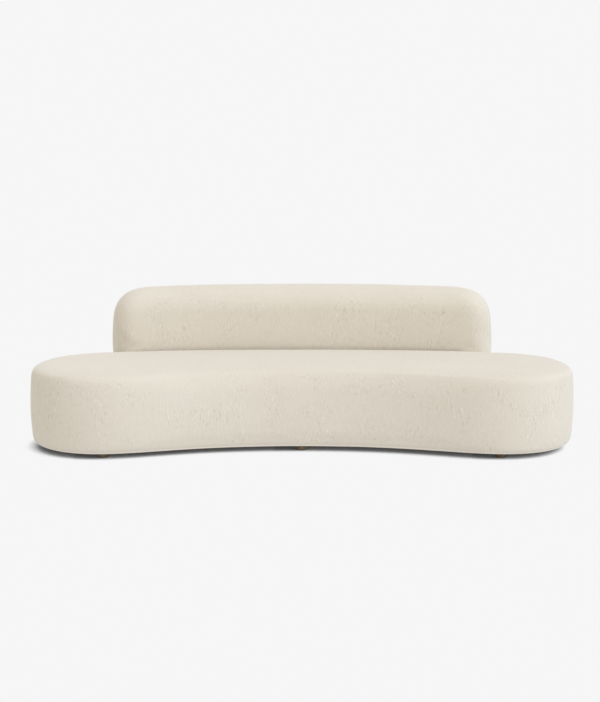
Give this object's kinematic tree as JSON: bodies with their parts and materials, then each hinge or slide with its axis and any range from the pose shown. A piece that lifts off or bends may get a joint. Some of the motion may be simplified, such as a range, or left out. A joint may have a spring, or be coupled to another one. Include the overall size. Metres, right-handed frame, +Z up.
{
  "type": "sofa",
  "caption": "Kidney-shaped upholstered sofa seat with a separate curved bolster back behind it, in nubby ivory fabric on short turned wooden feet.",
  "frame": {"origin": "on the floor, at the centre of the footprint's bounding box", "axes": "+X to the sitter's left as seen from the front (along the sofa's length), +Y from the front edge towards the back, +Z up"},
  "size_m": [2.6992, 1.0776, 0.74],
  "materials": {
    "boucle": "nubby ivory boucle weave",
    "dust_cloth": "black non-woven lining",
    "foam": "cut polyurethane foam",
    "foot_wood": "stained and satin-lacquered beech",
    "felt": "grey pressed felt",
    "zinc_steel": "zinc plated",
    "webbing": "woven elastic webbing",
    "softwood": "planed, unfinished pine",
    "plywood": "unfinished plywood"
  },
  "bodies": {
    "root": {"back_cover": "boucle", "back_foam": "foam", "back_head_rail": "plywood", "back_sill": "plywood", "base_panel": "plywood", "dust_cover": "dust_cloth", "front_left_foot": "foot_wood", "front_left_glide": "felt", "front_left_stem": "zinc_steel", "front_left_tee_nut": "zinc_steel", "front_middle_foot": "foot_wood", "front_middle_glide": "felt", "front_middle_stem": "zinc_steel", "front_middle_tee_nut": "zinc_steel", "front_rail": "plywood", "front_right_foot": "foot_wood", "front_right_glide": "felt", "front_right_stem": "zinc_steel", "front_right_tee_nut": "zinc_steel", "front_side_board": "plywood", "front_side_foam": "foam", "left_back_upright": "softwood", "left_cross_rail": "softwood", "left_end_rail": "plywood", "left_front_post": "softwood", "left_lower_bolt": "zinc_steel", "left_rear_post": "softwood", "left_side_foam": "foam", "left_upper_bolt": "zinc_steel", "left_webbing_1": "webbing", "left_webbing_2": "webbing", "left_webbing_3": "webbing", "rear_left_foot": "foot_wood", "rear_left_glide": "felt", "rear_left_stem": "zinc_steel", "rear_left_tee_nut": "zinc_steel", "rear_middle_foot": "foot_wood", "rear_middle_glide": "felt", "rear_middle_stem": "zinc_steel", "rear_middle_tee_nut": "zinc_steel", "rear_rail": "plywood", "rear_right_foot": "foot_wood", "rear_right_glide": "felt", "rear_right_stem": "zinc_steel", "rear_right_tee_nut": "zinc_steel", "rear_side_board": "plywood", "rear_side_foam": "foam", "right_back_upright": "softwood", "right_cross_rail": "softwood", "right_end_rail": "plywood", "right_front_post": "softwood", "right_lower_bolt": "zinc_steel", "right_rear_post": "softwood", "right_side_foam": "foam", "right_upper_bolt": "zinc_steel", "right_webbing_1": "webbing", "right_webbing_2": "webbing", "right_webbing_3": "webbing", "seat_cover": "boucle", "seat_foam": "foam"}
  },
  "joints": []
}
